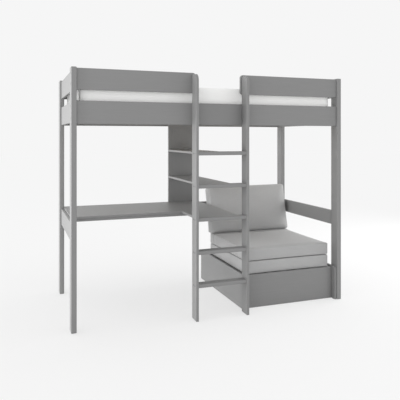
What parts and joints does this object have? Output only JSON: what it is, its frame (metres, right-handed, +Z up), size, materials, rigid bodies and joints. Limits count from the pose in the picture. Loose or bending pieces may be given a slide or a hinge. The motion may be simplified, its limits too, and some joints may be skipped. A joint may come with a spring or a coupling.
{
  "type": "high sleeper bed",
  "caption": "Grey high sleeper bed with a middle ladder, guard rails, shelves and a desk below, and a pull-out chair bed with a folding seat cushion.",
  "frame": {"origin": "on the floor, at the middle of the footprint of the whole bed and its ladder", "axes": "+X along the bed to the right as seen from the ladder, +Y to the back, +Z up"},
  "size_m": [2.0376, 1.064, 1.714],
  "materials": {
    "painted_timber": "satin grey paint on timber",
    "slat_timber": "planed softwood",
    "dowel_timber": "smooth beech",
    "steel": "zinc plated",
    "cap_plastic": "matt grey cover caps",
    "glide_plastic": "matt black",
    "wheel_rubber": "soft dark tyre",
    "mattress_fabric": "pale woven ticking",
    "cushion_fabric": "light grey woven cotton"
  },
  "bodies": {
    "frame": {"back_rail_middle": "painted_timber", "barrel_nuts": "steel", "base_back_rail": "painted_timber", "base_cross_rail": "painted_timber", "base_fixed_slats": "painted_timber", "base_side_left": "painted_timber", "base_side_right": "painted_timber", "bed_bolts": "steel", "bolt_caps": "cap_plastic", "centre_board": "painted_timber", "desk_cleat_left": "painted_timber", "desk_cleat_rear": "painted_timber", "desk_front_batten": "painted_timber", "desk_top": "painted_timber", "end_dowels": "dowel_timber", "end_panel_lower_left": "painted_timber", "end_panel_lower_right": "painted_timber", "end_panel_upper_left": "painted_timber", "end_panel_upper_right": "painted_timber", "end_rail_middle_left": "painted_timber", "end_rail_middle_right": "painted_timber", "floor_glides": "glide_plastic", "guard_rail_front_left": "painted_timber", "guard_rail_front_right": "painted_timber", "guard_rail_rear": "painted_timber", "ladder_bolts": "steel", "ladder_tread_1": "painted_timber", "ladder_tread_2": "painted_timber", "ladder_tread_3": "painted_timber", "ladder_tread_4": "painted_timber", "ladder_tread_5": "painted_timber", "ladder_upright_left": "painted_timber", "ladder_upright_right": "painted_timber", "mattress_slats": "slat_timber", "post_front_left": "painted_timber", "post_front_right": "painted_timber", "post_rear_left": "painted_timber", "post_rear_right": "painted_timber", "screw_caps": "cap_plastic", "seat_cushion_lower": "cushion_fabric", "shelf_back_panel": "painted_timber", "shelf_dowels": "dowel_timber", "shelf_lower": "painted_timber", "shelf_upper": "painted_timber", "side_rail_front": "painted_timber", "side_rail_rear": "painted_timber", "slat_bearer_front": "slat_timber", "slat_bearer_rear": "slat_timber", "tread_screws": "steel"},
    "pullout": {"pullout_front_board": "painted_timber", "pullout_slat_batten": "painted_timber", "pullout_slats": "painted_timber", "pullout_tail_bar": "painted_timber", "castor_forks": "steel", "castor_axles": "steel"},
    "castor_left": {"castor_wheel_left": "wheel_rubber"},
    "castor_right": {"castor_wheel_right": "wheel_rubber"},
    "seat_leaf": {"seat_cushion_leaf": "cushion_fabric"},
    "back_cushion": {"back_cushion": "cushion_fabric"},
    "mattress": {"mattress": "mattress_fabric"}
  },
  "joints": [
    {"name": "pullout_slide", "type": "slide", "parent": "frame", "child": "pullout", "axis": [0, -1, 0], "range_m": [0, 0.62]},
    {"name": "castor_left_roll", "type": "hinge", "parent": "pullout", "child": "castor_left", "pos_m": [0.3075, -0.346, 0.024], "axis": [1, 0, 0], "continuous": true},
    {"name": "castor_right_roll", "type": "hinge", "parent": "pullout", "child": "castor_right", "pos_m": [0.8745, -0.346, 0.024], "axis": [1, 0, 0], "continuous": true},
    {"name": "seat_fold", "type": "hinge", "parent": "frame", "child": "seat_leaf", "pos_m": [0.591, -0.3853, 0.34185], "axis": [1, 0, 0], "range_deg": [0, 180]},
    {"name": "back_cushion_lift", "type": "slide", "parent": "frame", "child": "back_cushion", "axis": [0, 0, 1], "range_m": [0, 0.25]},
    {"name": "mattress_lift", "type": "slide", "parent": "frame", "child": "mattress", "axis": [0, 0, 1], "range_m": [0, 0.26]}
  ]
}
